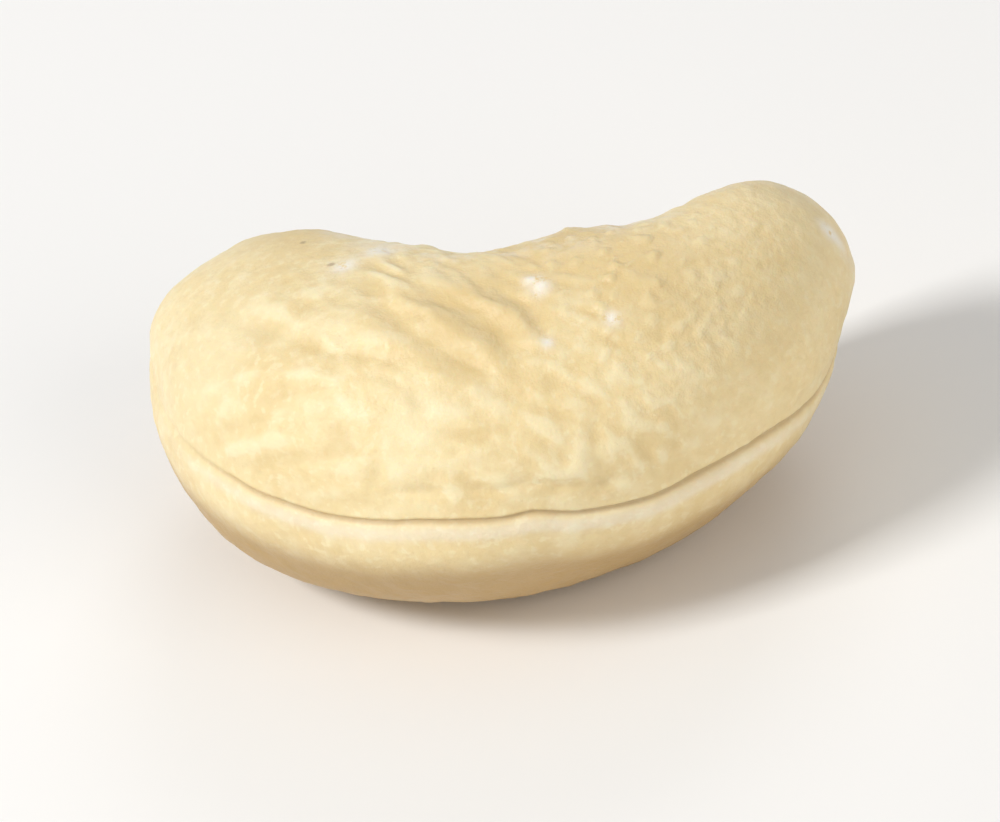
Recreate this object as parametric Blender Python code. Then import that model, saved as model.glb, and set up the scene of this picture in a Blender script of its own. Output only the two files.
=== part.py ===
"""Cashew kernel: one whole peeled kernel, lying on one broad side.

The kernel is grown round a bent centreline that runs from tip to tip. X runs
along its length, the rounded back faces -Y, the hollow crook faces +Y and the
two halves meet in a seam at about half height. All sizes are in millimetres
until the last step, which writes metres.
"""
import math

import bpy
import bmesh
from mathutils import Matrix, Vector, noise

MM = 0.001

# Centreline: its length, and its bend per millimetre as a curve of t, -1 to 1
ARC = 28.14
BEND = (0.119, -0.037, 0.024)

# Half widths towards the back and towards the crook, and the thickness of the
# upper and lower halves, each as a constant, a slope and a curve along t
BACK = (6.78, -0.30, -0.88)
CROOK = (5.01, -1.84, -1.52)
UPPER = (5.77, 0.19, 0.47)
LOWER = (6.58, 0.09, 1.32)

# Height of the centreline's middle over its tips, the twist at each tip, and how
# far the upper side is slanted towards the right tip, per millimetre of height,
# as a constant and a slope along t
RISE = 0.34
TWIST = -0.239
SLANT = (0.144, 0.142)

# How blunt the tips are and how square the section is
LEFT_TIP_POWER = 2.22
RIGHT_TIP_POWER = 2.46
TIP_FULLNESS = 1.08
SECTION_POWER = 2.12

# A pinch where the crook is deepest
PINCH_DEPTH = 0.45
PINCH_AT = -0.05
PINCH_WIDTH = 0.24

# Lean of the kernel as it lies, in degrees about X
LEAN_BACK = -4.0

# Rises and dips of the seam along the back, each as place, width and height
SEAM_STEPS = (
    (0.08, 0.55, -0.24),
    (-0.28, 0.14, -0.10),
    (-0.04, 0.09, 0.24),
    (0.085, 0.035, 0.26),
    (0.24, 0.10, -0.34),
    (0.64, 0.14, -0.35),
)

# Seam relief: a narrow groove that softens to the left, a thin rim and a broad
# bulge under it, a soft shoulder over it, and thick edges in the crook
GROOVE_DEPTH = 0.17
GROOVE_WIDTH = 0.17
GROOVE_SOFT_UNTIL = -0.62
GROOVE_SHARP_FROM = -0.22
RIM_HEIGHT = 0.06
RIM_DROP = 0.40
RIM_WIDTH = 0.30
BULGE_HEIGHT = 0.30
BULGE_DROP = 1.45
BULGE_WIDTH = 1.25
BULGE_FADES_FROM = 0.50
BULGE_GONE_BY = 0.85
SHOULDER_DEPTH = 0.07
SHOULDER_RISE = 0.45
SHOULDER_WIDTH = 0.55
VALLEY_DEPTH = 0.12
VALLEY_WIDTH = 0.60
CROOK_LIP = 0.18
CROOK_LIP_RISE = 0.65
CROOK_LIP_WIDTH = 0.60

# A faint second groove above the seam, on the middle of the back
SECOND_DEPTH = 0.11
SECOND_RISE = 1.10
SECOND_WIDTH = 0.24
SECOND_FROM = -0.15
SECOND_TO = 0.32

# Creases on the top, each as start, end, bow, depth and width
CREASES = (
    ((-8.4, -1.0), (-1.6, -5.6), -0.70, 0.10, 0.50),
    ((-3.4, -2.0), (1.1, -6.3), -0.40, 0.16, 0.42),
    ((-1.0, -2.8), (2.1, -5.6), 0.20, 0.17, 0.40),
    ((1.1, -2.1), (3.2, -5.1), 0.20, 0.09, 0.40),
)
CREASE_RIDGE = 0.55
CREASE_STRAY = 0.25

# Bumps and hollows on the top, broad ones first, each as place in plan, size and height
BUMPS = (
    (-12.0, 3.2, 1.50, 0.22),
    (-10.8, 6.2, 1.70, -0.40),
    (-6.0, 4.2, 1.70, 0.28),
    (0.0, 1.5, 1.20, -0.18),
    (3.5, 1.3, 1.10, 0.16),
    (5.8, 1.8, 1.60, -0.10),
    (8.9, 3.6, 2.20, 0.40),
    (12.4, 2.6, 1.80, 0.30),
    (3.0, -2.6, 2.60, -0.28),
    (2.7, -2.4, 0.55, 0.14),
    (5.2, -4.2, 0.50, 0.12),
    (2.9, -5.1, 0.50, 0.10),
    (6.6, -3.0, 0.70, 0.10),
)

# Wrinkles and pleats round the crook, and where they fade towards the tips
CRUMPLE_HEIGHT = 0.24
CRUMPLE_SCALE = 0.34
PLEAT_COUNT = 15.0
PLEAT_HEIGHT = 0.15
CROOK_FULL_UNTIL = 0.60
CROOK_GONE_BY = 0.96

# Broad lumps
LUMP_HEIGHT = 0.24
LUMP_SCALE = 0.17

# Height of the slice taken off under the kernel, for it to rest on
FLAT_SLICE = 0.25

# Mesh rows along the length, across the width and through the thickness
ROWS_LONG = 46
ROWS_WIDE = 20
ROWS_THICK = 22
LONG_REACH = 0.78
SEAM_CROWDING = 0.30

CENTRELINE_STEPS = 400


def curve(terms, t):
    return terms[0] + terms[1] * t + terms[2] * t * t


def bump(value, centre, width):
    return math.exp(-((value - centre) / width) ** 2)


def smooth_step(low, high, value):
    share = min(max((value - low) / (high - low), 0.0), 1.0)
    return share * share * (3.0 - 2.0 * share)


def tip_power(side):
    return RIGHT_TIP_POWER if side > 0.0 else LEFT_TIP_POWER


def heading(t):
    half = ARC / 2.0
    return half * (BEND[0] * t + BEND[1] * t * t / 2.0 + BEND[2] * t ** 3 / 3.0)


def centreline():
    """Points of the bent centreline from t = -1 to t = 1."""
    step = 2.0 / CENTRELINE_STEPS
    x = 0.0
    y = 0.0
    points = [(x, y)]
    for index in range(CENTRELINE_STEPS):
        angle = heading(-1.0 + (index + 0.5) * step)
        x += math.cos(angle) * step * ARC / 2.0
        y += math.sin(angle) * step * ARC / 2.0
        points.append((x, y))
    return points


def on_centreline(points, t):
    place = (t + 1.0) / 2.0 * CENTRELINE_STEPS
    index = min(int(place), CENTRELINE_STEPS - 1)
    share = place - index
    x0, y0 = points[index]
    x1, y1 = points[index + 1]
    return x0 + (x1 - x0) * share, y0 + (y1 - y0) * share


def seam_height(t, outward):
    """How far the seam lies above the line where the halves would meet."""
    height = sum(rise * bump(t, place, width) for place, width, rise in SEAM_STEPS)
    return height * max(outward, 0.0)


def grown_point(points, direction):
    """Place on the smooth body for a direction from its middle."""
    dx, dy, dz = direction
    across = math.hypot(dy, dz)
    power = tip_power(dx)
    size = (abs(dx) ** power + across ** power) ** (1.0 / power)
    t = dx / size
    cap = across / size
    outward = dy / across if across > 1e-9 else 1.0
    upward = dz / across if across > 1e-9 else 0.0
    crook = curve(CROOK, t) - PINCH_DEPTH * bump(t, PINCH_AT, PINCH_WIDTH)
    width = (curve(BACK, t) if outward > 0.0 else crook) * cap
    full = cap ** TIP_FULLNESS
    upper = curve(UPPER, t) * full
    lift = seam_height(t, outward) / max(upper, 2.5)
    angle = math.asin(max(-1.0, min(1.0, upward)))
    angle += lift * math.cos(angle) ** 2
    side = math.cos(angle) * (1.0 if outward > 0.0 else -1.0)
    height = math.sin(angle)
    square = (abs(side) ** SECTION_POWER + abs(height) ** SECTION_POWER) ** (1.0 / SECTION_POWER)
    reach = width * side / square
    thick = upper if height > 0.0 else curve(LOWER, t) * full
    above = thick * height / square
    twist = TWIST * t
    along_back = reach * math.cos(twist) - above * math.sin(twist)
    raised = reach * math.sin(twist) + above * math.cos(twist) + RISE * (1.0 - t * t)
    bend = heading(t)
    x, y = on_centreline(points, t)
    x += math.sin(bend) * along_back + (SLANT[0] + SLANT[1] * t) * raised
    y -= math.cos(bend) * along_back
    place = Vector((x, y, raised))
    return place, t, outward, above - upper * math.sin(lift)


def in_crook(t):
    return smooth_step(CROOK_GONE_BY, CROOK_FULL_UNTIL, abs(t))


def seam_relief(t, outward, above, place):
    """Groove, rim, bulge and shoulder along the seam, by height above it."""
    inward = smooth_step(0.1, -0.6, outward) * in_crook(t)
    sharp = 0.35 + 0.65 * smooth_step(GROOVE_SOFT_UNTIL, GROOVE_SHARP_FROM, t)
    ragged = 1.0 + 0.5 * noise.noise(place * 0.8)
    relief = -GROOVE_DEPTH * (sharp + inward) * bump(above, 0.0, GROOVE_WIDTH)
    relief -= VALLEY_DEPTH * (1.0 - sharp) * bump(above, 0.0, VALLEY_WIDTH)
    relief += RIM_HEIGHT * sharp * ragged * bump(above, -RIM_DROP, RIM_WIDTH)
    bulge = sharp * smooth_step(BULGE_GONE_BY, BULGE_FADES_FROM, t)
    relief += BULGE_HEIGHT * bulge * bump(above, -BULGE_DROP, BULGE_WIDTH)
    relief -= SHOULDER_DEPTH * sharp * bump(above, SHOULDER_RISE, SHOULDER_WIDTH)
    relief += CROOK_LIP * inward * ragged * bump(abs(above), CROOK_LIP_RISE, CROOK_LIP_WIDTH)
    second = smooth_step(SECOND_FROM, SECOND_FROM + 0.1, t) * smooth_step(SECOND_TO, SECOND_TO - 0.1, t)
    if outward > 0.0:
        relief -= SECOND_DEPTH * second * bump(above, SECOND_RISE, SECOND_WIDTH)
    return relief


def crease_relief(x, y, crease):
    """A shallow valley along a bowed line, with a soft ridge on either side."""
    (start_x, start_y), (end_x, end_y), bow, depth, width = crease
    dx = end_x - start_x
    dy = end_y - start_y
    length = math.hypot(dx, dy)
    share = ((x - start_x) * dx + (y - start_y) * dy) / length ** 2
    beside = ((y - start_y) * dx - (x - start_x) * dy) / length
    beside -= bow * 4.0 * share * (1.0 - share)
    beside += CREASE_STRAY * noise.noise(Vector((x * 0.6, y * 0.6, 3.0)))
    fade = smooth_step(-0.12, 0.2, share) * smooth_step(1.12, 0.75, share)
    ridges = CREASE_RIDGE * bump(abs(beside), 2.0 * width, width)
    return depth * fade * (ridges - bump(beside, 0.0, width))


def top_relief(x, y, shown):
    """All that is told apart on the upper half only."""
    relief = sum(crease_relief(x, y, crease) for crease in CREASES)
    for bump_x, bump_y, size, height in BUMPS:
        relief += height * bump(math.hypot(x - bump_x, y - bump_y), 0.0, size)
    return relief * shown


def wrinkle_relief(t, outward, above, place):
    """Crumpled crook side, and pleats round it."""
    edge = -0.2 - 0.25 * smooth_step(-2.0, 2.0, above)
    inward = smooth_step(edge, edge - 0.5, outward) * in_crook(t)
    ridge = 1.0 - 2.0 * abs(noise.noise(Vector((place.x, place.y, place.z * 1.3)) * CRUMPLE_SCALE))
    pleats = math.cos(PLEAT_COUNT * t * math.pi / 2.0 + 2.2 * noise.noise(place * 0.35))
    return inward * (CRUMPLE_HEIGHT * (ridge - 0.55) + PLEAT_HEIGHT * pleats * (1.0 - t * t))


def relief_at(place, t, outward, above, middle):
    x = place.x - middle[0]
    y = place.y - middle[1]
    shown = smooth_step(0.0, 1.6, place.z)
    relief = seam_relief(t, outward, above, place)
    relief += top_relief(x, y, shown)
    relief += wrinkle_relief(t, outward, above, place)
    relief += LUMP_HEIGHT * noise.noise(place * LUMP_SCALE + Vector((2.0, 5.0, 9.0)))
    return relief


def long_row(share):
    """Even steps along the centreline, as a slope from the middle."""
    t = LONG_REACH * share
    power = tip_power(t)
    return t / (1.0 - abs(t) ** power) ** (1.0 / power)


def thick_row(share):
    crowded = share * (SEAM_CROWDING + (1.0 - SEAM_CROWDING) * abs(share))
    return math.tan(math.pi / 4.0 * crowded)


def wide_row(share):
    return math.tan(math.pi / 4.0 * share)


def lattice(rows_long, rows_wide, rows_thick):
    """Directions and faces of a closed box of rows, blown up to a ball."""
    directions = []
    numbers = {}
    faces = []

    def vertex(i, j, k):
        if (i, j, k) not in numbers:
            x = long_row(2.0 * i / rows_long - 1.0)
            y = wide_row(2.0 * j / rows_wide - 1.0)
            z = thick_row(2.0 * k / rows_thick - 1.0)
            numbers[(i, j, k)] = len(directions)
            directions.append(Vector((x, y, z)).normalized())
        return numbers[(i, j, k)]

    def quad(a, b, c, d, flip):
        corners = [vertex(*a), vertex(*b), vertex(*c), vertex(*d)]
        faces.append(corners[::-1] if flip else corners)

    for i in range(rows_long):
        for j in range(rows_wide):
            for k in (0, rows_thick):
                quad((i, j, k), (i + 1, j, k), (i + 1, j + 1, k), (i, j + 1, k), k > 0)
        for k in range(rows_thick):
            for j in (0, rows_wide):
                quad((i, j, k), (i + 1, j, k), (i + 1, j, k + 1), (i, j, k + 1), j == 0)
    for j in range(rows_wide):
        for k in range(rows_thick):
            for i in (0, rows_long):
                quad((i, j, k), (i, j + 1, k), (i, j + 1, k + 1), (i, j, k + 1), i > 0)
    return directions, faces


def grow_mesh():
    """Smooth body first, then the relief along its normals."""
    points = centreline()
    directions, faces = lattice(ROWS_LONG, ROWS_WIDE, ROWS_THICK)
    grown = [grown_point(points, direction) for direction in directions]
    body = bmesh.new()
    verts = [body.verts.new(place) for place, t, outward, above in grown]
    for corners in faces:
        body.faces.new([verts[number] for number in corners])
    bmesh.ops.recalc_face_normals(body, faces=body.faces)
    body.normal_update()
    middle_x = (min(v.co.x for v in verts) + max(v.co.x for v in verts)) / 2.0
    middle_y = (min(v.co.y for v in verts) + max(v.co.y for v in verts)) / 2.0
    moves = []
    for vert, (place, t, outward, above) in zip(verts, grown):
        height = relief_at(place, t, outward, above, (middle_x, middle_y))
        moves.append(vert.normal * height)
    for vert, move in zip(verts, moves):
        vert.co += move
    return body


def rest_and_centre(body):
    """Lean the kernel as it lies, flatten its lowest spot and centre it."""
    lean = Matrix.Rotation(math.radians(LEAN_BACK), 3, "X")
    for vert in body.verts:
        vert.co = lean @ vert.co
    floor = min(v.co.z for v in body.verts) + FLAT_SLICE
    for vert in body.verts:
        vert.co.z = max(vert.co.z, floor)
    low_x = min(v.co.x for v in body.verts)
    high_x = max(v.co.x for v in body.verts)
    low_y = min(v.co.y for v in body.verts)
    high_y = max(v.co.y for v in body.verts)
    shift = Vector(((low_x + high_x) / 2.0, (low_y + high_y) / 2.0, floor))
    for vert in body.verts:
        vert.co = (vert.co - shift) * MM


def flesh_material():
    material = bpy.data.materials.new("cashew_flesh")
    material.use_nodes = True
    shader = material.node_tree.nodes["Principled BSDF"]
    shader.inputs["Base Color"].default_value = (0.83, 0.68, 0.42, 1.0)
    shader.inputs["Roughness"].default_value = 0.5
    return material


def build():
    for item in list(bpy.data.objects):
        bpy.data.objects.remove(item, do_unlink=True)
    body = grow_mesh()
    rest_and_centre(body)
    mesh = bpy.data.meshes.new("kernel")
    body.to_mesh(mesh)
    body.free()
    for polygon in mesh.polygons:
        polygon.use_smooth = True
    mesh.materials.append(flesh_material())
    kernel = bpy.data.objects.new("kernel", mesh)
    bpy.context.scene.collection.objects.link(kernel)


build()
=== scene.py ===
"""Looks of one whole cashew kernel lying on a plain pale floor.

The kernel is grown by the same formulas as the part, on a much finer mesh,
with the small dabs, pebbles and crumples that the part is too coarse for.
Sizes are in millimetres until the kernel is brought to the part's box.
"""
import math

import bpy
import bmesh
from mathutils import Matrix, Vector, noise


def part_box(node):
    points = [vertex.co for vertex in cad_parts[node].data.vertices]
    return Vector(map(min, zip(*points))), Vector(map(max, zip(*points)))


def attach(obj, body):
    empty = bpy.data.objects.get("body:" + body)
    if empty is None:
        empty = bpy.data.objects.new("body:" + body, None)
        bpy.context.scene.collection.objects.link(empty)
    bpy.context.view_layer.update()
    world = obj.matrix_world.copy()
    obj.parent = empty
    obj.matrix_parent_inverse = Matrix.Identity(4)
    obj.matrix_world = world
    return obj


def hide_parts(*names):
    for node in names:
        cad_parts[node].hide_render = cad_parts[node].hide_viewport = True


MM = 0.001

# Centreline: its length, and its bend per millimetre as a curve of t, -1 to 1
ARC = 28.14
BEND = (0.119, -0.037, 0.024)

# Half widths towards the back and towards the crook, and the thickness of the
# upper and lower halves, each as a constant, a slope and a curve along t
BACK = (6.78, -0.30, -0.88)
CROOK = (5.01, -1.84, -1.52)
UPPER = (5.77, 0.19, 0.47)
LOWER = (6.58, 0.09, 1.32)

# Height of the centreline's middle over its tips, the twist at each tip, and how
# far the upper side is slanted towards the right tip, per millimetre of height,
# as a constant and a slope along t
RISE = 0.34
TWIST = -0.239
SLANT = (0.144, 0.142)

# How blunt the tips are and how square the section is
LEFT_TIP_POWER = 2.22
RIGHT_TIP_POWER = 2.46
TIP_FULLNESS = 1.08
SECTION_POWER = 2.12

# A pinch where the crook is deepest
PINCH_DEPTH = 0.45
PINCH_AT = -0.05
PINCH_WIDTH = 0.24

# Lean of the kernel as it lies, in degrees about X
LEAN_BACK = -4.0

# Rises and dips of the seam along the back, each as place, width and height
SEAM_STEPS = (
    (0.08, 0.55, -0.24),
    (-0.28, 0.14, -0.10),
    (-0.04, 0.09, 0.24),
    (0.085, 0.035, 0.26),
    (0.24, 0.10, -0.34),
    (0.64, 0.14, -0.35),
)
SEAM_WOBBLE = 0.07

# Seam relief: a narrow groove that softens to the left, a thin rim and a broad
# bulge under it, a soft shoulder over it, and thick edges in the crook
GROOVE_DEPTH = 0.13
GROOVE_WIDTH = 0.10
GROOVE_SOFT_UNTIL = -0.62
GROOVE_SHARP_FROM = -0.22
RIM_HEIGHT = 0.06
RIM_DROP = 0.40
RIM_WIDTH = 0.30
BULGE_HEIGHT = 0.30
BULGE_DROP = 1.45
BULGE_WIDTH = 1.25
BULGE_FADES_FROM = 0.50
BULGE_GONE_BY = 0.85
SHOULDER_DEPTH = 0.07
SHOULDER_RISE = 0.45
SHOULDER_WIDTH = 0.55
VALLEY_DEPTH = 0.12
VALLEY_WIDTH = 0.60
CROOK_LIP = 0.18
CROOK_LIP_RISE = 0.65
CROOK_LIP_WIDTH = 0.60

# A faint second groove above the seam, on the middle of the back
SECOND_DEPTH = 0.11
SECOND_RISE = 1.10
SECOND_WIDTH = 0.24
SECOND_FROM = -0.15
SECOND_TO = 0.32

# Creases on the top, each as start, end, bow, depth and width
CREASES = (
    ((-8.4, -1.0), (-1.6, -5.6), -0.70, 0.10, 0.50),
    ((-3.4, -2.0), (1.1, -6.3), -0.40, 0.16, 0.42),
    ((-1.0, -2.8), (2.1, -5.6), 0.20, 0.17, 0.40),
    ((1.1, -2.1), (3.2, -5.1), 0.20, 0.09, 0.40),
)
CREASE_RIDGE = 0.55
CREASE_STRAY = 0.25
DEEPEST_CREASE = 0.17
CREASE_LINE_DEPTH = 0.05
CREASE_LINE_WIDTH = 0.24

# Bumps and hollows on the top, broad ones first, each as place in plan, size and height
BUMPS = (
    (-12.0, 3.2, 1.50, 0.22),
    (-10.8, 6.2, 1.70, -0.40),
    (-6.0, 4.2, 1.70, 0.28),
    (0.0, 1.5, 1.20, -0.18),
    (3.5, 1.3, 1.10, 0.16),
    (5.8, 1.8, 1.60, -0.10),
    (8.9, 3.6, 2.20, 0.40),
    (12.4, 2.6, 1.80, 0.30),
    (3.0, -2.6, 2.60, -0.28),
    (2.7, -2.4, 0.55, 0.14),
    (5.2, -4.2, 0.50, 0.12),
    (2.9, -5.1, 0.50, 0.10),
    (6.6, -3.0, 0.70, 0.10),
)

# Wrinkles and pleats round the crook, and where they fade towards the tips
CRUMPLE_HEIGHT = 0.24
CRUMPLE_SCALE = 0.34
PLEAT_COUNT = 15.0
PLEAT_HEIGHT = 0.15
CROOK_FULL_UNTIL = 0.60
CROOK_GONE_BY = 0.96

# Broad lumps
LUMP_HEIGHT = 0.24
LUMP_SCALE = 0.17

# Small relief that only this finer mesh holds: dabs on the back, crumples in
# the crook, pebbles on the top and uneven skin all over
DAB_HEIGHT = 0.15
DABS_PER_MM = 1.9
DAB_SLANT = 0.8
DAB_STRETCH = 0.50
DAB_WARP = 0.35
FINE_CRUMPLE_HEIGHT = 0.10
FINE_CRUMPLE_SCALE = 0.95
PEBBLE_HEIGHT = 0.13
PEBBLE_SCALE = 2.3
PEBBLE_CENTRE = (5.4, -2.2)
PEBBLE_REACH = 3.4
SKIN_HEIGHT = 0.030
SKIN_SCALE = 1.5

# Height of the slice taken off under the kernel, for it to rest on
FLAT_SLICE = 0.25

# Scuffs, some of them painted glints, specks, soft spots of painted shade, and pale patches with
# painted light on the upper side, as place in plan and size
SCUFFS_AND_GLINTS = (
    (-4.4, -0.1, 0.46),
    (-3.3, 0.9, 0.50),
    (2.4, -2.2, 0.34),
    (2.7, -2.6, 0.38),
    (5.2, -4.2, 0.28),
    (3.0, -5.1, 0.22),
    (12.0, 2.4, 0.34),
)
SPECKS = ((-6.2, 2.6, 0.14), (-4.9, 0.2, 0.17))
PAINTED_SHADE_SPOTS = ((0.7, -3.5, 3.0), (3.4, -0.6, 3.2), (6.0, -2.2, 2.6), (-6.4, 4.2, 2.2))
PALE_AND_LIT_SPOTS = ((-1.8, -7.0, 1.3), (-2.5, -7.7, 0.45), (-8.8, -1.9, 2.0), (-10.6, 5.4, 1.0))

# Where the painted shade of the underside starts and is full, by height from the
# seam, and how much higher it reaches towards the right tip
UNDER_SHADE_FROM = -0.6
UNDER_SHADE_FULL = -3.3
UNDER_SHADE_SLANT = 0.9

# Where the pale rim, partly a painted highlight, fades, and where the darker right arm starts and is
# full, by t
PALE_LIT_RIM_FROM = 0.30
PALE_LIT_RIM_GONE_BY = 0.85
ARM_FROM = -0.2
ARM_FULL = 0.7

# Colours of the flesh, linear red, green and blue
CREAM = (0.89, 0.725, 0.405)
PALE = (0.95, 0.845, 0.56)
BUFF = (0.75, 0.575, 0.285)
CHALK = (0.95, 0.90, 0.80)
SHADE_TAN = (0.50, 0.325, 0.135)
SHADE = (0.50, 0.35, 0.18)
SPECK = (0.33, 0.22, 0.14)

# Blotches laid over the cream in turn, coarse to fine, each as noise per
# millimetre, its detail, where it starts, where it is full, strength and colour
BLOTCHES = (
    (0.13, 3.0, 0.36, 0.70, 0.50, BUFF),
    (0.32, 3.0, 0.42, 0.74, 0.40, PALE),
    (0.90, 2.0, 0.48, 0.74, 0.42, PALE),
    (2.80, 2.0, 0.54, 0.68, 0.50, PALE),
    (2.80, 2.0, 0.46, 0.34, 0.22, BUFF),
)

# Tints laid over the blotches in turn, each as the tone that places it, where
# it starts, where it is full, strength and colour
TINTS = (
    # painted highlight on the raised fine relief, and painted shade in its dips
    ("relief_light_and_shade", 0.0, 0.05, 0.70, PALE),
    ("relief_light_and_shade", 0.0, -0.06, 0.50, BUFF),
    ("arm", 0.0, 1.0, 0.25, BUFF),
    # pale patches, and painted light on the lit left dome
    ("pale_and_lit", 0.0, 1.0, 0.50, PALE),
    # painted shade in the hollows of the top
    ("painted_shade", 0.0, 1.0, 0.70, BUFF),
    # painted shade on the underside
    ("underside_shade", 0.0, 1.0, 0.90, SHADE_TAN),
    # pale chalky rim under the seam, partly a painted highlight where the lower lip faces up
    ("rim", 0.0, 1.0, 0.40, CHALK),
)

# Broken chalky marks over the tints, each as the tone that places it, noise per
# millimetre, where it starts, where it is full and strength
CHALKY_MARKS = (
    ("crook", 0.55, 0.42, 0.62, 0.6),
    # white scuffs, some of them painted glints
    ("scuffs_and_glints", 2.20, 0.33, 0.47, 1.0),
)
CHALKY_DETAIL = 4.0
CHALKY_ROUGHNESS = 0.7

# Dark specks, and painted shade in the seam's groove, over all, in the same order of values as the
# tints
DARK_TINTS = (
    ("speck", 0.2, 0.9, 0.60, SPECK),
    # painted shade in the seam's groove
    ("seam_shade", 0.0, 1.0, 0.65, SHADE),
)

# Sheen of the flesh, the light that goes through it, and its finest grain
SHEEN_NOISE = 0.5
SHEEN_DETAIL = 3.0
SHEEN_FROM = 0.3
SHEEN_TO = 0.7
SMOOTHEST = 0.38
ROUGHEST = 0.54
GLOW_SHARE = 0.20
GLOW_COLOURS = (1.0, 0.62, 0.30)
GLOW_REACH = 0.45
FLESH_IOR = 1.42
GRAIN_HEIGHT = 0.10
GRAIN_STRENGTH = 0.6
GRAIN_NOISE = 3.0
GRAIN_DETAIL = 5.0
GRAIN_ROUGHNESS = 0.6

# Mesh rows along the length, across the width and through the thickness, how
# near the outermost rows come to the tips, and how close rows lie at the seam
ROWS_LONG = 200
ROWS_WIDE = 96
ROWS_THICK = 100
LONG_REACH = 0.78
SEAM_CROWDING = 0.45

# Straight steps that the bent centreline is made of
CENTRELINE_STEPS = 400

# Floor, and soft lights, each as name, place, size, power and colour
FLOOR_SIZE = 4.0
FLOOR_COLOUR = (0.92, 0.92, 0.92, 1.0)
FLOOR_ROUGHNESS = 0.9
SKY_COLOUR = (1.0, 1.0, 1.0, 1.0)
SKY_STRENGTH = 0.35
LIGHTS = (
    ("key", (-0.23, -0.11, 0.26), 0.10, 0.87, (1.0, 0.985, 0.96)),
    ("fill", (0.24, -0.20, 0.18), 0.25, 0.38, (1.0, 0.94, 0.85)),
    ("rim", (0.05, 0.28, 0.20), 0.16, 0.19, (1.0, 1.0, 1.0)),
)

# Camera, as seen from the kernel, and how far off it stands
CAMERA_AZIMUTH = 11.0
CAMERA_HEIGHT = 38.0
CAMERA_ROLL = 12.5
CAMERA_DISTANCE = 0.42
CAMERA_LENS = 433.0
CAMERA_CLIP = 0.005
CAMERA_AIM = (0.0, -0.0006, 0.0055)


def curve(terms, t):
    return terms[0] + terms[1] * t + terms[2] * t * t


def bump(value, centre, width):
    return math.exp(-((value - centre) / width) ** 2)


def smooth_step(low, high, value):
    share = min(max((value - low) / (high - low), 0.0), 1.0)
    return share * share * (3.0 - 2.0 * share)


def tip_power(side):
    return RIGHT_TIP_POWER if side > 0.0 else LEFT_TIP_POWER


def heading(t):
    half = ARC / 2.0
    return half * (BEND[0] * t + BEND[1] * t * t / 2.0 + BEND[2] * t ** 3 / 3.0)


def centreline():
    """Points of the bent centreline from t = -1 to t = 1."""
    step = 2.0 / CENTRELINE_STEPS
    x = 0.0
    y = 0.0
    points = [(x, y)]
    for index in range(CENTRELINE_STEPS):
        angle = heading(-1.0 + (index + 0.5) * step)
        x += math.cos(angle) * step * ARC / 2.0
        y += math.sin(angle) * step * ARC / 2.0
        points.append((x, y))
    return points


def on_centreline(points, t):
    place = (t + 1.0) / 2.0 * CENTRELINE_STEPS
    index = min(int(place), CENTRELINE_STEPS - 1)
    share = place - index
    x0, y0 = points[index]
    x1, y1 = points[index + 1]
    return x0 + (x1 - x0) * share, y0 + (y1 - y0) * share


def seam_height(t, outward):
    """How far the seam lies above the line where the halves would meet."""
    height = sum(rise * bump(t, place, width) for place, width, rise in SEAM_STEPS)
    wobble = SEAM_WOBBLE * noise.noise(Vector((t * 14.0, outward * 0.7, 4.0))) * (1.0 - t * t)
    return height * max(outward, 0.0) + wobble


def grown_point(points, direction):
    """Place on the smooth body for a direction from its middle."""
    dx, dy, dz = direction
    across = math.hypot(dy, dz)
    power = tip_power(dx)
    size = (abs(dx) ** power + across ** power) ** (1.0 / power)
    t = dx / size
    cap = across / size
    outward = dy / across if across > 1e-9 else 1.0
    upward = dz / across if across > 1e-9 else 0.0
    crook = curve(CROOK, t) - PINCH_DEPTH * bump(t, PINCH_AT, PINCH_WIDTH)
    width = (curve(BACK, t) if outward > 0.0 else crook) * cap
    full = cap ** TIP_FULLNESS
    upper = curve(UPPER, t) * full
    lift = seam_height(t, outward) / max(upper, 2.5)
    angle = math.asin(max(-1.0, min(1.0, upward)))
    angle += lift * math.cos(angle) ** 2
    side = math.cos(angle) * (1.0 if outward > 0.0 else -1.0)
    height = math.sin(angle)
    square = (abs(side) ** SECTION_POWER + abs(height) ** SECTION_POWER) ** (1.0 / SECTION_POWER)
    reach = width * side / square
    thick = upper if height > 0.0 else curve(LOWER, t) * full
    above = thick * height / square
    twist = TWIST * t
    along_back = reach * math.cos(twist) - above * math.sin(twist)
    raised = reach * math.sin(twist) + above * math.cos(twist) + RISE * (1.0 - t * t)
    bend = heading(t)
    x, y = on_centreline(points, t)
    x += math.sin(bend) * along_back + (SLANT[0] + SLANT[1] * t) * raised
    y -= math.cos(bend) * along_back
    place = Vector((x, y, raised))
    return place, t, outward, above - upper * math.sin(lift)


def in_crook(t):
    return smooth_step(CROOK_GONE_BY, CROOK_FULL_UNTIL, abs(t))


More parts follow.
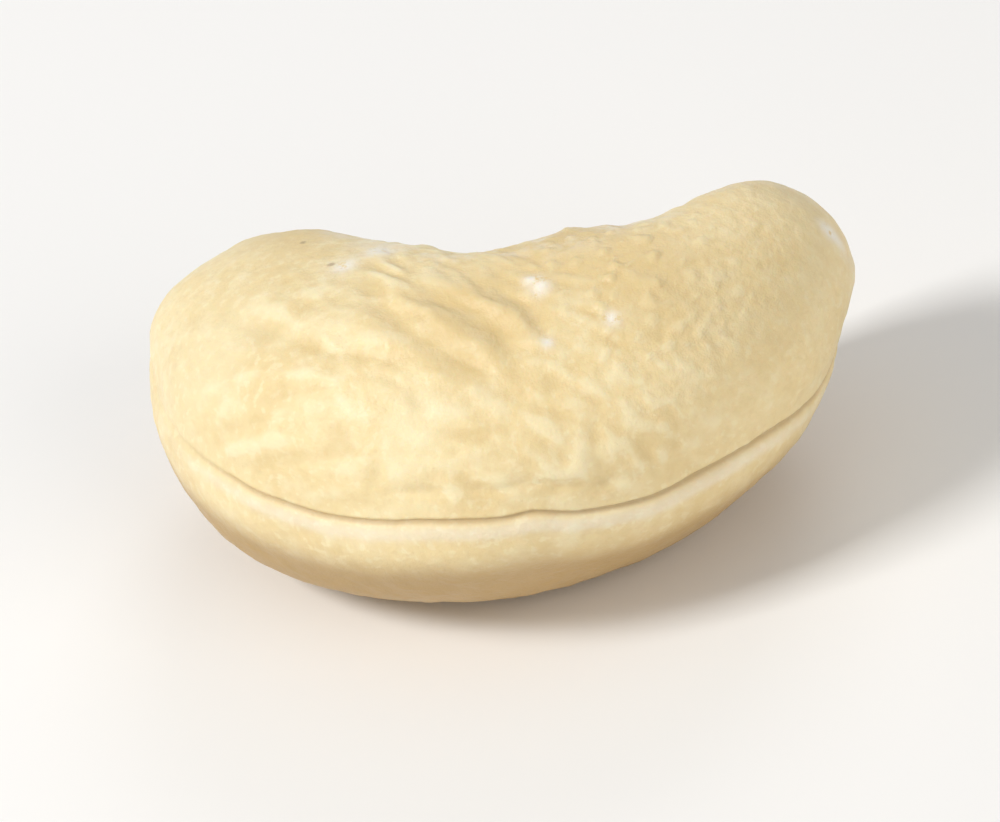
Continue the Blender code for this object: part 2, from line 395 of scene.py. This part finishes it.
def seam_relief(t, outward, above, place):
    """Groove, rim, bulge and shoulder along the seam, by height above it."""
    inward = smooth_step(0.1, -0.6, outward) * in_crook(t)
    sharp = 0.35 + 0.65 * smooth_step(GROOVE_SOFT_UNTIL, GROOVE_SHARP_FROM, t)
    ragged = 1.0 + 0.5 * noise.noise(place * 0.8)
    relief = -GROOVE_DEPTH * (sharp + inward) * bump(above, 0.0, GROOVE_WIDTH * (2.2 - 1.2 * sharp))
    relief -= VALLEY_DEPTH * (1.0 - sharp) * bump(above, 0.0, VALLEY_WIDTH)
    relief += RIM_HEIGHT * sharp * ragged * bump(above, -RIM_DROP, RIM_WIDTH)
    bulge = sharp * smooth_step(BULGE_GONE_BY, BULGE_FADES_FROM, t)
    relief += BULGE_HEIGHT * bulge * bump(above, -BULGE_DROP, BULGE_WIDTH)
    relief -= SHOULDER_DEPTH * sharp * bump(above, SHOULDER_RISE, SHOULDER_WIDTH)
    relief += CROOK_LIP * inward * ragged * bump(abs(above), CROOK_LIP_RISE, CROOK_LIP_WIDTH)
    second = smooth_step(SECOND_FROM, SECOND_FROM + 0.1, t) * smooth_step(SECOND_TO, SECOND_TO - 0.1, t)
    if outward > 0.0:
        relief -= SECOND_DEPTH * second * bump(above, SECOND_RISE, SECOND_WIDTH)
    return relief


def beside_crease(x, y, crease):
    """Distance from a crease's bowed line, and how far the crease has faded in."""
    (start_x, start_y), (end_x, end_y), bow = crease[:3]
    dx = end_x - start_x
    dy = end_y - start_y
    length = math.hypot(dx, dy)
    share = ((x - start_x) * dx + (y - start_y) * dy) / length ** 2
    beside = ((y - start_y) * dx - (x - start_x) * dy) / length
    beside -= bow * 4.0 * share * (1.0 - share)
    beside += CREASE_STRAY * noise.noise(Vector((x * 0.6, y * 0.6, 3.0)))
    return beside, smooth_step(-0.12, 0.2, share) * smooth_step(1.12, 0.75, share)


def crease_relief(x, y, crease):
    """A shallow valley along a bowed line, with a soft ridge on either side."""
    depth, width = crease[3:]
    beside, fade = beside_crease(x, y, crease)
    ridges = CREASE_RIDGE * bump(abs(beside), 2.0 * width, width)
    return depth * fade * (ridges - bump(beside, 0.0, width))


def crease_line(x, y):
    """How much of the narrow bottom of a crease a place is in."""
    line = 0.0
    for crease in CREASES:
        beside, fade = beside_crease(x, y, crease)
        line = max(line, fade * crease[3] / DEEPEST_CREASE * bump(beside, 0.0, CREASE_LINE_WIDTH))
    return line


def top_relief(x, y, shown):
    """Creases and bumps of the upper half."""
    relief = sum(crease_relief(x, y, crease) for crease in CREASES)
    for bump_x, bump_y, size, height in BUMPS:
        relief += height * bump(math.hypot(x - bump_x, y - bump_y), 0.0, size)
    return relief * shown


def wrinkle_relief(t, outward, above, place):
    """Crumpled crook side, and pleats round it."""
    edge = -0.2 - 0.25 * smooth_step(-2.0, 2.0, above)
    inward = smooth_step(edge, edge - 0.5, outward) * in_crook(t)
    ridge = 1.0 - 2.0 * abs(noise.noise(Vector((place.x, place.y, place.z * 1.3)) * CRUMPLE_SCALE))
    pleats = math.cos(PLEAT_COUNT * t * math.pi / 2.0 + 2.2 * noise.noise(place * 0.35))
    return inward * (CRUMPLE_HEIGHT * (ridge - 0.55) + PLEAT_HEIGHT * pleats * (1.0 - t * t))


def dab_relief(t, outward, above, place):
    """Short dabs that slant across the top and run straight down the back."""
    warp = DAB_WARP * noise.noise(place * 0.6 + Vector((1.0, 8.0, 2.0)))
    across = t * ARC / 2.0 + DAB_SLANT * place.y + warp
    along = (place.y + place.z) * DAB_STRETCH
    dab = noise.noise(Vector((across * DABS_PER_MM, along * DABS_PER_MM, 2.0)))
    patch = smooth_step(-0.40, 0.20, noise.noise(place * 0.35 + Vector((4.0, 0.0, 6.0))))
    shown = smooth_step(0.3, 1.2, above) * smooth_step(-0.6, -0.1, outward)
    shown *= smooth_step(-0.6, -0.2, t) * smooth_step(0.50, 0.05, t)
    return DAB_HEIGHT * dab * (0.5 + 0.5 * patch) * (0.18 + 0.82 * shown)


def fine_relief(t, outward, above, place, x, y):
    """Dabs on the back, pebbles on the top, crumples in the crook, uneven skin."""
    relief = dab_relief(t, outward, above, place)
    away = math.hypot(x - PEBBLE_CENTRE[0], y - PEBBLE_CENTRE[1])
    pebble = smooth_step(0.05, 0.50, noise.noise(place * PEBBLE_SCALE))
    relief += PEBBLE_HEIGHT * pebble * bump(away, 0.0, PEBBLE_REACH) * smooth_step(0.5, 2.5, above)
    inward = smooth_step(-0.1, -0.7, outward) * in_crook(t)
    ridge = 1.0 - 2.0 * abs(noise.noise(place * FINE_CRUMPLE_SCALE))
    relief += FINE_CRUMPLE_HEIGHT * inward * (ridge - 0.6)
    relief -= CREASE_LINE_DEPTH * crease_line(x, y) * smooth_step(0.5, 2.5, above)
    relief += SKIN_HEIGHT * noise.noise(place * SKIN_SCALE)
    relief += SKIN_HEIGHT * 0.5 * noise.noise(place * SKIN_SCALE * 2.7)
    return relief


def coarse_relief(place, t, outward, above, x, y):
    """All the relief that the part has too."""
    shown = smooth_step(0.0, 1.6, place.z)
    relief = seam_relief(t, outward, above, place)
    relief += top_relief(x, y, shown)
    relief += wrinkle_relief(t, outward, above, place)
    relief += LUMP_HEIGHT * noise.noise(place * LUMP_SCALE + Vector((2.0, 5.0, 9.0)))
    return relief


def long_row(share):
    """Even steps along the centreline, as a slope from the middle."""
    t = LONG_REACH * share
    power = tip_power(t)
    return t / (1.0 - abs(t) ** power) ** (1.0 / power)


def thick_row(share):
    crowded = share * (SEAM_CROWDING + (1.0 - SEAM_CROWDING) * abs(share))
    return math.tan(math.pi / 4.0 * crowded)


def wide_row(share):
    return math.tan(math.pi / 4.0 * share)


def lattice(rows_long, rows_wide, rows_thick):
    """Directions and faces of a closed box of rows, blown up to a ball."""
    directions = []
    numbers = {}
    faces = []

    def vertex(i, j, k):
        if (i, j, k) not in numbers:
            x = long_row(2.0 * i / rows_long - 1.0)
            y = wide_row(2.0 * j / rows_wide - 1.0)
            z = thick_row(2.0 * k / rows_thick - 1.0)
            numbers[(i, j, k)] = len(directions)
            directions.append(Vector((x, y, z)).normalized())
        return numbers[(i, j, k)]

    def quad(a, b, c, d, flip):
        corners = [vertex(*a), vertex(*b), vertex(*c), vertex(*d)]
        faces.append(corners[::-1] if flip else corners)

    for i in range(rows_long):
        for j in range(rows_wide):
            for k in (0, rows_thick):
                quad((i, j, k), (i + 1, j, k), (i + 1, j + 1, k), (i, j + 1, k), k > 0)
        for k in range(rows_thick):
            for j in (0, rows_wide):
                quad((i, j, k), (i + 1, j, k), (i + 1, j, k + 1), (i, j, k + 1), j == 0)
    for j in range(rows_wide):
        for k in range(rows_thick):
            for i in (0, rows_long):
                quad((i, j, k), (i, j + 1, k), (i, j + 1, k + 1), (i, j, k + 1), i > 0)
    return directions, faces


def spot_at(x, y, place, spots):
    """How much of a listed spot a place of the upper side is in."""
    share = 0.0
    if place.z > 0.5:
        for spot_x, spot_y, size in spots:
            share = max(share, bump(math.hypot(x - spot_x, y - spot_y), 0.0, size))
    return share


def tones_at(grown, height, x, y):
    """The numbers that the colours are mixed by, one set a vertex."""
    place, t, outward, above = grown
    sharp = 0.1 + 0.9 * smooth_step(GROOVE_SOFT_UNTIL, GROOVE_SHARP_FROM, t)
    pale_lit_rim = smooth_step(PALE_LIT_RIM_GONE_BY, PALE_LIT_RIM_FROM, t)
    return {
        # painted shade in the seam's groove
        "seam_shade": sharp * bump(above, 0.0, GROOVE_WIDTH),
        # pale chalky rim with a painted highlight where the lower lip faces up
        "rim": sharp * pale_lit_rim * bump(above, -RIM_DROP, RIM_WIDTH),
        "crook": smooth_step(0.1, -0.6, outward) * in_crook(t),
        # painted shade under the seam's bulge
        "underside_shade": smooth_step(UNDER_SHADE_FROM, UNDER_SHADE_FULL, above - UNDER_SHADE_SLANT * max(t, 0.0)),
        "arm": smooth_step(ARM_FROM, ARM_FULL, t),
        # height of the fine relief, for its painted highlight and shade
        "relief_light_and_shade": height,
        # white scuffs, some of them painted glints
        "scuffs_and_glints": spot_at(x, y, place, SCUFFS_AND_GLINTS),
        "speck": spot_at(x, y, place, SPECKS),
        # pale patches, and painted light where the top faces the light
        "pale_and_lit": spot_at(x, y, place, PALE_AND_LIT_SPOTS),
        # painted shade where the top's hollows lie in shade
        "painted_shade": spot_at(x, y, place, PAINTED_SHADE_SPOTS),
    }


def grow_kernel():
    """Smooth body first, then the relief along its normals."""
    points = centreline()
    directions, faces = lattice(ROWS_LONG, ROWS_WIDE, ROWS_THICK)
    grown = [grown_point(points, direction) for direction in directions]
    body = bmesh.new()
    verts = [body.verts.new(item[0]) for item in grown]
    for corners in faces:
        body.faces.new([verts[number] for number in corners])
    bmesh.ops.recalc_face_normals(body, faces=body.faces)
    body.normal_update()
    middle_x = (min(v.co.x for v in verts) + max(v.co.x for v in verts)) / 2.0
    middle_y = (min(v.co.y for v in verts) + max(v.co.y for v in verts)) / 2.0
    tones = []
    moves = []
    for vert, item in zip(verts, grown):
        place, t, outward, above = item
        x = place.x - middle_x
        y = place.y - middle_y
        small = fine_relief(t, outward, above, place, x, y)
        moves.append(vert.normal * (coarse_relief(place, t, outward, above, x, y) + small))
        tones.append(tones_at(item, small, x, y))
    for vert, move in zip(verts, moves):
        vert.co += move
    return body, tones


def lay_down(body, low, high):
    """Lean the kernel, flatten its lowest spot and bring it to the part's box."""
    lean = Matrix.Rotation(math.radians(LEAN_BACK), 3, "X")
    for vert in body.verts:
        vert.co = lean @ vert.co
    floor = min(v.co.z for v in body.verts) + FLAT_SLICE
    for vert in body.verts:
        vert.co.z = max(vert.co.z, floor)
    grown_low = [min(v.co[axis] for v in body.verts) for axis in range(3)]
    grown_high = [max(v.co[axis] for v in body.verts) for axis in range(3)]
    for vert in body.verts:
        for axis in range(3):
            share = (vert.co[axis] - grown_low[axis]) / (grown_high[axis] - grown_low[axis])
            vert.co[axis] = low[axis] + (high[axis] - low[axis]) * share


def kernel_object(material):
    low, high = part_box("kernel")
    body, tones = grow_kernel()
    lay_down(body, low, high)
    mesh = bpy.data.meshes.new("kernel_flesh")
    body.to_mesh(mesh)
    body.free()
    for polygon in mesh.polygons:
        polygon.use_smooth = True
    for name in tones[0]:
        layer = mesh.attributes.new(name, "FLOAT", "POINT")
        layer.data.foreach_set("value", [tone[name] for tone in tones])
    mesh.materials.append(material)
    kernel = bpy.data.objects.new("kernel_flesh", mesh)
    bpy.context.scene.collection.objects.link(kernel)
    return kernel


class Nodes:
    """Short calls for building one material's node tree."""

    def __init__(self, name):
        self.material = bpy.data.materials.new(name)
        self.material.use_nodes = True
        self.tree = self.material.node_tree
        self.shader = self.tree.nodes["Principled BSDF"]

    def link(self, source, target):
        self.tree.links.new(source, target)

    def number(self, name):
        node = self.tree.nodes.new("ShaderNodeAttribute")
        node.attribute_name = name
        return node.outputs["Fac"]

    def noise(self, per_mm, detail, roughness=0.5):
        node = self.tree.nodes.new("ShaderNodeTexNoise")
        node.inputs["Scale"].default_value = per_mm / MM
        node.inputs["Detail"].default_value = detail
        node.inputs["Roughness"].default_value = roughness
        place = self.tree.nodes.new("ShaderNodeTexCoord").outputs["Object"]
        self.link(place, node.inputs["Vector"])
        return node.outputs["Fac"]

    def ramp(self, source, low, high, out_low, out_high):
        node = self.tree.nodes.new("ShaderNodeMapRange")
        node.interpolation_type = "SMOOTHSTEP"
        node.inputs["From Min"].default_value = low
        node.inputs["From Max"].default_value = high
        node.inputs["To Min"].default_value = out_low
        node.inputs["To Max"].default_value = out_high
        self.link(source, node.inputs["Value"])
        return node.outputs["Result"]

    def product(self, first, second):
        node = self.tree.nodes.new("ShaderNodeMath")
        node.operation = "MULTIPLY"
        self.link(first, node.inputs[0])
        self.link(second, node.inputs[1])
        return node.outputs["Value"]

    def mix(self, share, first, second):
        node = self.tree.nodes.new("ShaderNodeMix")
        node.data_type = "RGBA"
        self.link(share, node.inputs["Factor"])
        for socket, value in ((node.inputs["A"], first), (node.inputs["B"], second)):
            if isinstance(value, tuple):
                socket.default_value = value + (1.0,)
            else:
                self.link(value, socket)
        return node.outputs["Result"]


def blotches(nodes, colour):
    """Broad buff clouds, with pale flecks and a finer mottle over them."""
    for per_mm, detail, start, full, strength, tint in BLOTCHES:
        share = nodes.ramp(nodes.noise(per_mm, detail), start, full, 0.0, strength)
        colour = nodes.mix(share, colour, tint)
    return colour


def tinted(nodes, colour, tints):
    """Tints laid over a colour, each as far as its tone reaches."""
    for tone, start, full, strength, tint in tints:
        share = nodes.ramp(nodes.number(tone), start, full, 0.0, strength)
        colour = nodes.mix(share, colour, tint)
    return colour


def chalked(nodes, colour):
    """White dust in the crook, and scuffs and painted glints on the top, broken up by noise."""
    for tone, per_mm, start, full, strength in CHALKY_MARKS:
        broken = nodes.noise(per_mm, CHALKY_DETAIL, CHALKY_ROUGHNESS)
        broken = nodes.ramp(broken, start, full, 0.0, strength)
        colour = nodes.mix(nodes.product(nodes.number(tone), broken), colour, CHALK)
    return colour


def finest_grain(nodes):
    grain = nodes.tree.nodes.new("ShaderNodeBump")
    grain.inputs["Distance"].default_value = GRAIN_HEIGHT * MM
    grain.inputs["Strength"].default_value = GRAIN_STRENGTH
    nodes.link(nodes.noise(GRAIN_NOISE, GRAIN_DETAIL, GRAIN_ROUGHNESS), grain.inputs["Height"])
    nodes.link(grain.outputs["Normal"], nodes.shader.inputs["Normal"])


def flesh_material():
    nodes = Nodes("cashew_flesh")
    colour = blotches(nodes, CREAM)
    colour = tinted(nodes, colour, TINTS)
    colour = chalked(nodes, colour)
    colour = tinted(nodes, colour, DARK_TINTS)
    nodes.link(colour, nodes.shader.inputs["Base Color"])
    sheen = nodes.noise(SHEEN_NOISE, SHEEN_DETAIL)
    sheen = nodes.ramp(sheen, SHEEN_FROM, SHEEN_TO, SMOOTHEST, ROUGHEST)
    nodes.link(sheen, nodes.shader.inputs["Roughness"])
    nodes.shader.inputs["Subsurface Weight"].default_value = GLOW_SHARE
    nodes.shader.inputs["Subsurface Radius"].default_value = GLOW_COLOURS
    nodes.shader.inputs["Subsurface Scale"].default_value = GLOW_REACH * MM
    nodes.shader.inputs["IOR"].default_value = FLESH_IOR
    finest_grain(nodes)
    return nodes.material


def plain_floor():
    bpy.ops.mesh.primitive_plane_add(size=FLOOR_SIZE)
    floor = bpy.context.object
    floor.name = "floor"
    nodes = Nodes("floor_paper")
    nodes.shader.inputs["Base Color"].default_value = FLOOR_COLOUR
    nodes.shader.inputs["Roughness"].default_value = FLOOR_ROUGHNESS
    floor.data.materials.append(nodes.material)


def area_light(name, place, size, power, colour):
    data = bpy.data.lights.new(name, "AREA")
    data.energy = power
    data.size = size
    data.color = colour
    lamp = bpy.data.objects.new(name, data)
    lamp.location = place
    lamp.rotation_euler = (-Vector(place)).to_track_quat("-Z", "Y").to_euler()
    bpy.context.scene.collection.objects.link(lamp)


def lighting():
    world = bpy.data.worlds.new("studio")
    world.use_nodes = True
    background = world.node_tree.nodes["Background"]
    background.inputs["Color"].default_value = SKY_COLOUR
    background.inputs["Strength"].default_value = SKY_STRENGTH
    bpy.context.scene.world = world
    for name, place, size, power, colour in LIGHTS:
        area_light(name, place, size, power, colour)


def camera():
    azimuth = math.radians(CAMERA_AZIMUTH)
    height = math.radians(CAMERA_HEIGHT)
    level = math.cos(height)
    out = Vector((math.sin(azimuth) * level, -math.cos(azimuth) * level, math.sin(height)))
    data = bpy.data.cameras.new("camera")
    data.lens = CAMERA_LENS
    data.clip_start = CAMERA_CLIP
    view = bpy.data.objects.new("camera", data)
    view.location = Vector(CAMERA_AIM) + out * CAMERA_DISTANCE
    roll = Matrix.Rotation(math.radians(-CAMERA_ROLL), 4, "Z")
    view.rotation_euler = (out.to_track_quat("Z", "Y").to_matrix().to_4x4() @ roll).to_euler()
    bpy.context.scene.collection.objects.link(view)
    bpy.context.scene.camera = view


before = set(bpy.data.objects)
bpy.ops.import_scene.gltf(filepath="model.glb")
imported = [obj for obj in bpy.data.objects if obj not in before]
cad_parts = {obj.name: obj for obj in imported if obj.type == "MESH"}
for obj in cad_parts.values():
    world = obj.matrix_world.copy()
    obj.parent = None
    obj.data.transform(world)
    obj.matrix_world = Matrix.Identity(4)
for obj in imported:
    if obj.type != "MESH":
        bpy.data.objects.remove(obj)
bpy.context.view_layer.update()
flesh = kernel_object(flesh_material())
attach(flesh, "root")
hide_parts("kernel")
plain_floor()
lighting()
camera()
bpy.context.scene.view_settings.view_transform = "Standard"
